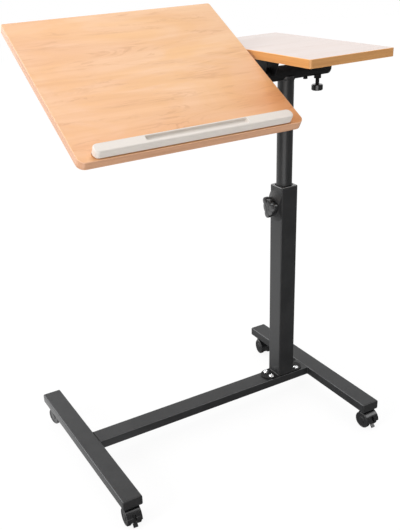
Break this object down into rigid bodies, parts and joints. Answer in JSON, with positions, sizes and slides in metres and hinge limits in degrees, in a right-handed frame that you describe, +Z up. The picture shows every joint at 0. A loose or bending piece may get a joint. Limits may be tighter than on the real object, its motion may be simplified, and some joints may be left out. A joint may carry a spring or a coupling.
{
  "type": "c-shaped laptop table",
  "caption": "Rolling laptop table with an H-shaped tube base on casters, a telescopic post, a tilting main board with a pen ledge and a fixed side board.",
  "frame": {"origin": "middle of the footprint at floor level, with the casters as they stand", "axes": "+Z up, +X along the crossbar from the open end towards the post, -Y towards the user"},
  "size_m": [0.611, 0.431, 0.8595],
  "materials": {
    "black_coat": "satin black powder coat",
    "gloss_black": "moulded glossy black plastic",
    "matt_black": "moulded fine-textured black plastic",
    "bright_zinc": "bright zinc plating",
    "chrome": "polished plating",
    "beech_top": "beech laminate, satin",
    "beech_side": "beech laminate, satin",
    "beech_edge": "wood-tone edge banding",
    "cream_plastic": "cream moulded plastic"
  },
  "bodies": {
    "base": {"left_foot_tube": "black_coat", "right_foot_tube": "black_coat", "crossbar_tube": "black_coat", "foot_end_caps": "matt_black", "frame_welds": "black_coat", "post_base_plate": "black_coat", "base_plate_bolts": "chrome", "base_plate_nuts": "bright_zinc", "lower_post_tube": "black_coat", "post_weld": "black_coat", "guide_bush": "matt_black", "clamp_housing": "matt_black", "clamp_weld_nut": "bright_zinc", "caster_inserts": "bright_zinc", "caster_stems": "bright_zinc"},
    "height_clamp_stud": {"height_clamp_stud": "bright_zinc"},
    "height_clamp_knob": {"height_clamp_knob": "gloss_black"},
    "slide_guide": {"slide_guide": "matt_black"},
    "upper": {"upper_post_tube": "black_coat", "tilt_sleeve": "black_coat", "sleeve_weld": "black_coat", "sleeve_end_cap": "matt_black", "side_brackets": "black_coat", "side_bracket_screws": "bright_zinc", "side_board_core": "beech_side", "side_board_edge": "beech_edge", "tilt_clamp_nut": "black_coat", "stop_screw": "bright_zinc"},
    "tilt_clamp_stud": {"tilt_clamp_stud": "black_coat"},
    "tilt_clamp_head": {"tilt_clamp_head": "gloss_black"},
    "main": {"tilt_tube": "black_coat", "tilt_tube_cap": "matt_black", "main_brackets": "black_coat", "main_bracket_screws": "bright_zinc", "main_board_core": "beech_top", "main_board_edge": "beech_edge", "ledge": "cream_plastic", "ledge_screws": "bright_zinc"},
    "near_left": {"near_left_body": "gloss_black", "near_left_axle": "bright_zinc"},
    "near_left_wheel_a": {"near_left_wheel_a": "matt_black"},
    "near_left_wheel_b": {"near_left_wheel_b": "matt_black"},
    "near_left_brake": {"near_left_brake": "gloss_black"},
    "near_right": {"near_right_body": "gloss_black", "near_right_axle": "bright_zinc"},
    "near_right_wheel_a": {"near_right_wheel_a": "matt_black"},
    "near_right_wheel_b": {"near_right_wheel_b": "matt_black"},
    "near_right_brake": {"near_right_brake": "gloss_black"},
    "rear_left": {"rear_left_body": "gloss_black", "rear_left_axle": "bright_zinc"},
    "rear_left_wheel_a": {"rear_left_wheel_a": "matt_black"},
    "rear_left_wheel_b": {"rear_left_wheel_b": "matt_black"},
    "rear_right": {"rear_right_body": "gloss_black", "rear_right_axle": "bright_zinc"},
    "rear_right_wheel_a": {"rear_right_wheel_a": "matt_black"},
    "rear_right_wheel_b": {"rear_right_wheel_b": "matt_black"}
  },
  "joints": [
    {"name": "height_slide", "type": "slide", "parent": "base", "child": "slide_guide", "axis": [0, 0, 1], "range_m": [-0.2, 0.14]},
    {"name": "post_swivel", "type": "hinge", "parent": "slide_guide", "child": "upper", "pos_m": [0.2045, 0.00554, 0.4], "axis": [0, 0, 1], "continuous": true},
    {"name": "board_tilt", "type": "hinge", "parent": "upper", "child": "main", "pos_m": [0.2045, 0.00554, 0.732], "axis": [1, 0, 0], "range_deg": [-30, 60]},
    {"name": "height_clamp_feed", "type": "slide", "parent": "base", "child": "height_clamp_stud", "axis": [-1, 0, 0], "range_m": [0, 0.00251]},
    {"name": "height_clamp_turn", "type": "hinge", "parent": "height_clamp_stud", "child": "height_clamp_knob", "pos_m": [0.1695, 0.00554, 0.467], "axis": [-1, 0, 0], "range_deg": [0, 720]},
    {"name": "tilt_clamp_feed", "type": "slide", "parent": "upper", "child": "tilt_clamp_stud", "axis": [0, 0, -1], "range_m": [0, 0.00251]},
    {"name": "tilt_clamp_turn", "type": "hinge", "parent": "tilt_clamp_stud", "child": "tilt_clamp_head", "pos_m": [0.2815, 0.00554, 0.702], "axis": [0, 0, -1], "range_deg": [0, 720]},
    {"name": "near_left_swivel", "type": "hinge", "parent": "base", "child": "near_left", "pos_m": [-0.2805, -0.18446, 0.03], "axis": [0, 0, 1], "continuous": true},
    {"name": "near_left_wheel_a_roll", "type": "hinge", "parent": "near_left", "child": "near_left_wheel_a", "pos_m": [-0.28128, -0.19343, 0.018], "axis": [0.9962, -0.0872, 0], "continuous": true},
    {"name": "near_left_wheel_b_roll", "type": "hinge", "parent": "near_left", "child": "near_left_wheel_b", "pos_m": [-0.28128, -0.19343, 0.018], "axis": [0.9962, -0.0872, 0], "continuous": true},
    {"name": "near_left_brake_press", "type": "hinge", "parent": "near_left", "child": "near_left_brake", "pos_m": [-0.28224, -0.20439, 0.026], "axis": [0.9962, -0.0872, 0], "range_deg": [-25, 0]},
    {"name": "near_right_swivel", "type": "hinge", "parent": "base", "child": "near_right", "pos_m": [0.2855, -0.18446, 0.03], "axis": [0, 0, 1], "continuous": true},
    {"name": "near_right_wheel_a_roll", "type": "hinge", "parent": "near_right", "child": "near_right_wheel_a", "pos_m": [0.28597, -0.19345, 0.018], "axis": [0.9986, 0.0523, 0], "continuous": true},
    {"name": "near_right_wheel_b_roll", "type": "hinge", "parent": "near_right", "child": "near_right_wheel_b", "pos_m": [0.28597, -0.19345, 0.018], "axis": [0.9986, 0.0523, 0], "continuous": true},
    {"name": "near_right_brake_press", "type": "hinge", "parent": "near_right", "child": "near_right_brake", "pos_m": [0.28655, -0.20444, 0.026], "axis": [0.9986, 0.0523, 0], "range_deg": [-25, 0]},
    {"name": "rear_left_swivel", "type": "hinge", "parent": "base", "child": "rear_left", "pos_m": [-0.2805, 0.19554, 0.03], "axis": [0, 0, 1], "continuous": true},
    {"name": "rear_left_wheel_a_roll", "type": "hinge", "parent": "rear_left", "child": "rear_left_wheel_a", "pos_m": [-0.27894, 0.18667, 0.018], "axis": [0.9848, 0.1736, 0], "continuous": true},
    {"name": "rear_left_wheel_b_roll", "type": "hinge", "parent": "rear_left", "child": "rear_left_wheel_b", "pos_m": [-0.27894, 0.18667, 0.018], "axis": [0.9848, 0.1736, 0], "continuous": true},
    {"name": "rear_right_swivel", "type": "hinge", "parent": "base", "child": "rear_right", "pos_m": [0.2855, 0.19554, 0.03], "axis": [0, 0, 1], "continuous": true},
    {"name": "rear_right_wheel_a_roll", "type": "hinge", "parent": "rear_right", "child": "rear_right_wheel_a", "pos_m": [0.28409, 0.18665, 0.018], "axis": [0.9877, -0.1564, 0], "continuous": true},
    {"name": "rear_right_wheel_b_roll", "type": "hinge", "parent": "rear_right", "child": "rear_right_wheel_b", "pos_m": [0.28409, 0.18665, 0.018], "axis": [0.9877, -0.1564, 0], "continuous": true}
  ],
  "couplings": [
    {"joint": "height_clamp_feed", "follows": "height_clamp_turn", "m_per_rad": 0.00019894},
    {"joint": "tilt_clamp_feed", "follows": "tilt_clamp_turn", "m_per_rad": 0.00019894}
  ]
}
